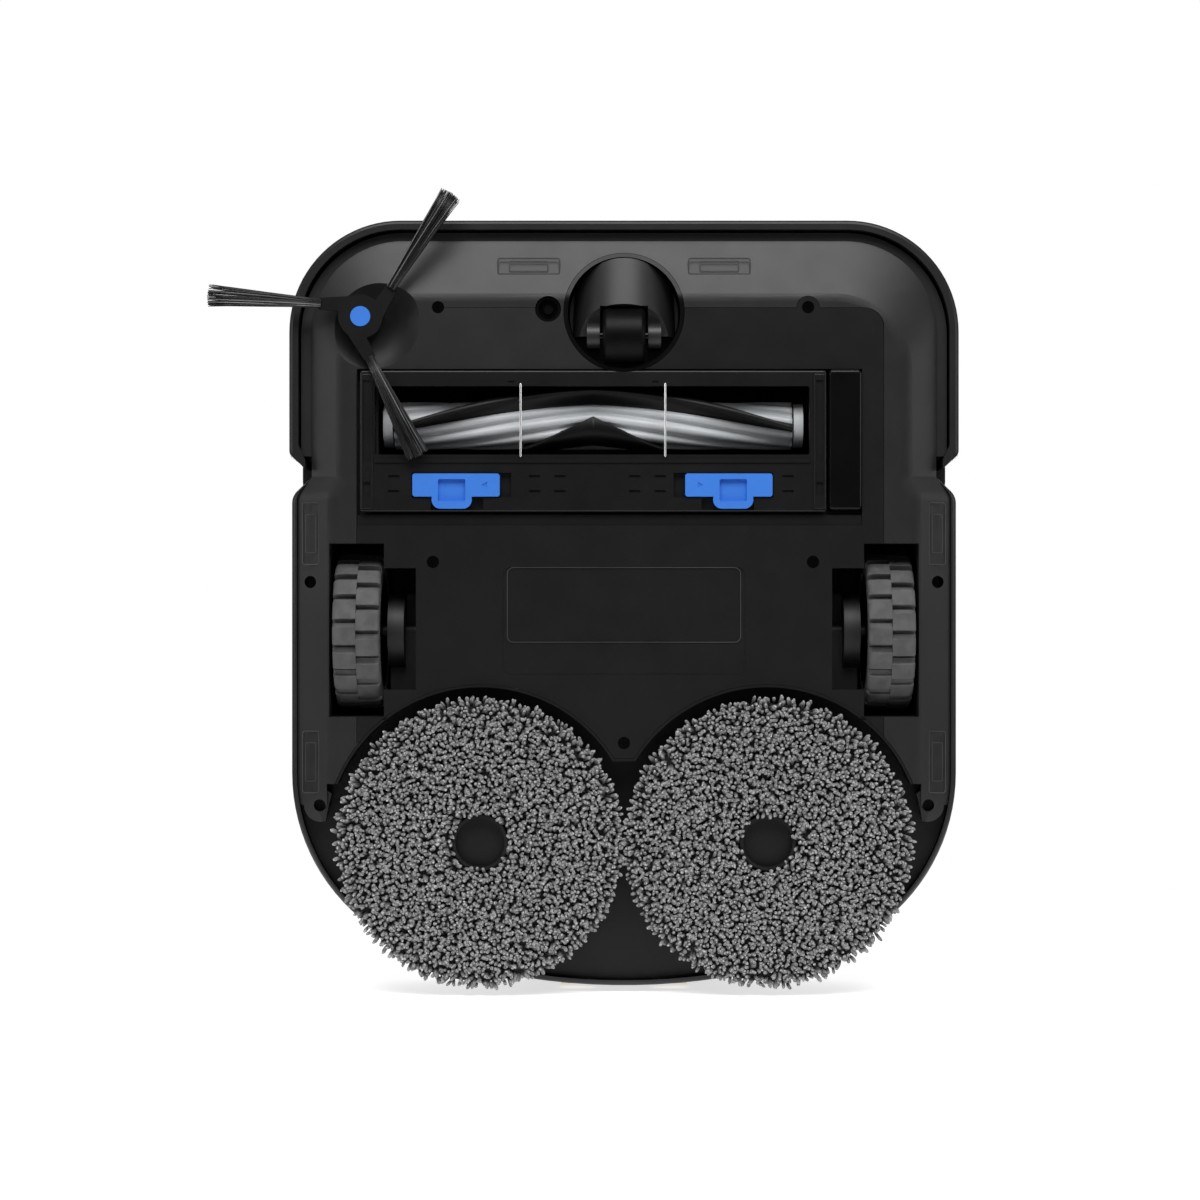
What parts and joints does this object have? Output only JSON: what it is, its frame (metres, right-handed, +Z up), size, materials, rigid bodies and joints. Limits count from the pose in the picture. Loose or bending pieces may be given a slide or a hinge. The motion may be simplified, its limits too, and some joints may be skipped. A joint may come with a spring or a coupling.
{
  "type": "robot vacuum",
  "caption": "Low D-fronted robot vacuum that mops, with a bumper, drive wheels, caster, roller, side brush and spinning mop pads.",
  "frame": {"origin": "on the floor, midway between the contact points of the two drive wheels", "axes": "+Z up in use, -Y towards the bumper, +X towards the side without the side brush"},
  "size_m": [0.3566, 0.3783, 0.098],
  "materials": {
    "chassis_black": "fine textured satin",
    "plate_black": "fine matt texture",
    "shell_black": "satin",
    "deck_black": "satin gloss top",
    "bumper_black": "satin",
    "bay_black": "matt",
    "guard_black": "satin",
    "gloss_black": "glossy",
    "hood_black": "satin",
    "caster_black": "smooth rubber tread",
    "disc_black": "satin",
    "tinted_window": "infrared-clear smoked plastic",
    "bin_smoke": "smoked clear plastic",
    "signal_blue": "satin blue plastic",
    "roller_grey": "light grey plastic",
    "rubber_black": "soft rubber",
    "bristle_black": "nylon bristle",
    "tyre_grey": "matt rubber",
    "chenille_grey": "grey and white chenille loops",
    "screw_steel": "black oxide",
    "wire_bright": "polished",
    "motor_steel": "zinc plated",
    "contact_brass": "nickel brass",
    "battery_wrap": "shrink-wrapped cells, at the density of a cell pack",
    "board_green": "solder mask",
    "filter_paper": "pleated",
    "button_grey": "satin"
  },
  "bodies": {
    "root": {"chassis_base": "chassis_black", "cliff_windows": "tinted_window", "cliff_sensors": "board_green", "bottom_plate": "plate_black", "plate_screws": "screw_steel", "housing_screws": "screw_steel", "mop_deck": "plate_black", "side_housing": "shell_black", "top_deck": "deck_black", "brush_bay": "bay_black", "brush_gearbox": "gloss_black", "brush_motor": "motor_steel", "brush_guard": "guard_black", "guard_wires": "wire_bright", "caster_socket": "gloss_black", "side_brush_motor": "motor_steel", "drive_well_left": "bay_black", "drive_well_right": "bay_black", "suspension_spring_left": "screw_steel", "suspension_spring_right": "screw_steel", "mop_lift_motor": "motor_steel", "lidar_cap": "deck_black", "dust_bin": "bin_smoke", "dust_filter": "filter_paper", "suction_fan": "bay_black", "battery_pack": "battery_wrap", "main_board": "board_green", "water_tank": "bin_smoke", "charging_contacts": "contact_brass", "carpet_sensor": "gloss_black"},
    "bumper": {"bumper": "bumper_black", "bumper_window": "tinted_window"},
    "caster_swivel": {"caster_swivel": "hood_black", "caster_axle": "screw_steel"},
    "caster_wheel": {"caster_wheel": "caster_black"},
    "side_brush": {"side_brush_hub": "guard_black", "side_brush_cap": "signal_blue", "side_brush_bristles": "bristle_black"},
    "main_roller": {"roller_core": "roller_grey", "roller_caps": "roller_grey", "roller_fins": "rubber_black"},
    "left_arm": {"drive_arm_left": "bay_black", "drive_motor_left": "motor_steel"},
    "right_arm": {"drive_arm_right": "bay_black", "drive_motor_right": "motor_steel"},
    "left_wheel": {"drive_hub_left": "gloss_black", "drive_tyre_left": "tyre_grey"},
    "right_wheel": {"drive_hub_right": "gloss_black", "drive_tyre_right": "tyre_grey"},
    "mop_lift": {"mop_lift_frame": "bay_black"},
    "left_mop": {"mop_disc_left": "disc_black", "mop_pad_left": "chenille_grey"},
    "right_mop": {"mop_disc_right": "disc_black", "mop_pad_right": "chenille_grey"},
    "latch_left": {"latch_left": "signal_blue"},
    "latch_right": {"latch_right": "signal_blue"},
    "top_lid": {"top_lid": "deck_black"},
    "power_button": {"power_button": "button_grey"},
    "home_button": {"home_button": "button_grey"},
    "lidar_spinner": {"lidar_spinner": "gloss_black"}
  },
  "joints": [
    {"name": "bumper_press", "type": "slide", "parent": "root", "child": "bumper", "axis": [0, 1, 0], "range_m": [0, 0.003], "stiffness_N_per_m": 600, "springref_m": -0.004},
    {"name": "caster_turn", "type": "hinge", "parent": "root", "child": "caster_swivel", "pos_m": [0, -0.1504, 0.036], "axis": [0, 0, 1], "continuous": true},
    {"name": "caster_roll", "type": "hinge", "parent": "caster_swivel", "child": "caster_wheel", "pos_m": [0, -0.1394, 0.013], "axis": [1, 0, 0], "continuous": true},
    {"name": "side_brush_spin", "type": "hinge", "parent": "root", "child": "side_brush", "pos_m": [-0.1236, -0.148, 0.01], "axis": [0, 0, 1], "continuous": true},
    {"name": "roller_spin", "type": "hinge", "parent": "root", "child": "main_roller", "pos_m": [-0.01455, -0.0978, 0.026], "axis": [1, 0, 0], "continuous": true},
    {"name": "left_suspension", "type": "hinge", "parent": "root", "child": "left_arm", "pos_m": [-0.105, 0.052, 0.038], "axis": [1, 0, 0], "range_deg": [0, 14], "stiffness_Nm_per_rad": 0.36, "springref_deg": 51.57},
    {"name": "left_wheel_spin", "type": "hinge", "parent": "left_arm", "child": "left_wheel", "pos_m": [-0.1254, 0, 0.037], "axis": [1, 0, 0], "continuous": true},
    {"name": "right_suspension", "type": "hinge", "parent": "root", "child": "right_arm", "pos_m": [0.105, 0.052, 0.038], "axis": [1, 0, 0], "range_deg": [0, 14], "stiffness_Nm_per_rad": 0.36, "springref_deg": 51.57},
    {"name": "right_wheel_spin", "type": "hinge", "parent": "right_arm", "child": "right_wheel", "pos_m": [0.1254, 0, 0.037], "axis": [1, 0, 0], "continuous": true},
    {"name": "mop_lift", "type": "slide", "parent": "root", "child": "mop_lift", "axis": [0, 0, 1], "range_m": [0, 0.007]},
    {"name": "left_mop_spin", "type": "hinge", "parent": "mop_lift", "child": "left_mop", "pos_m": [-0.0673, 0.0985, 0.01], "axis": [0, 0, 1], "continuous": true},
    {"name": "right_mop_spin", "type": "hinge", "parent": "mop_lift", "child": "right_mop", "pos_m": [0.0673, 0.0985, 0.01], "axis": [0, 0, 1], "continuous": true},
    {"name": "latch_left_slide", "type": "slide", "parent": "root", "child": "latch_left", "axis": [1, 0, 0], "range_m": [0, 0.005], "stiffness_N_per_m": 300, "springref_m": -0.003},
    {"name": "latch_right_slide", "type": "slide", "parent": "root", "child": "latch_right", "axis": [-1, 0, 0], "range_m": [0, 0.005], "stiffness_N_per_m": 300, "springref_m": -0.003},
    {"name": "lid_hinge", "type": "hinge", "parent": "root", "child": "top_lid", "pos_m": [0, 0.0246, 0.0847], "axis": [-1, 0, 0], "range_deg": [0, 70]},
    {"name": "power_press", "type": "slide", "parent": "root", "child": "power_button", "axis": [0, 0, -1], "range_m": [0, 0.001], "stiffness_N_per_m": 600, "springref_m": -0.001},
    {"name": "home_press", "type": "slide", "parent": "root", "child": "home_button", "axis": [0, 0, -1], "range_m": [0, 0.001], "stiffness_N_per_m": 600, "springref_m": -0.001},
    {"name": "lidar_spin", "type": "hinge", "parent": "root", "child": "lidar_spinner", "pos_m": [0, 0.08, 0.09], "axis": [0, 0, 1], "continuous": true}
  ],
  "couplings": [
    {"joint": "right_mop_spin", "follows": "left_mop_spin", "ratio": -1}
  ]
}
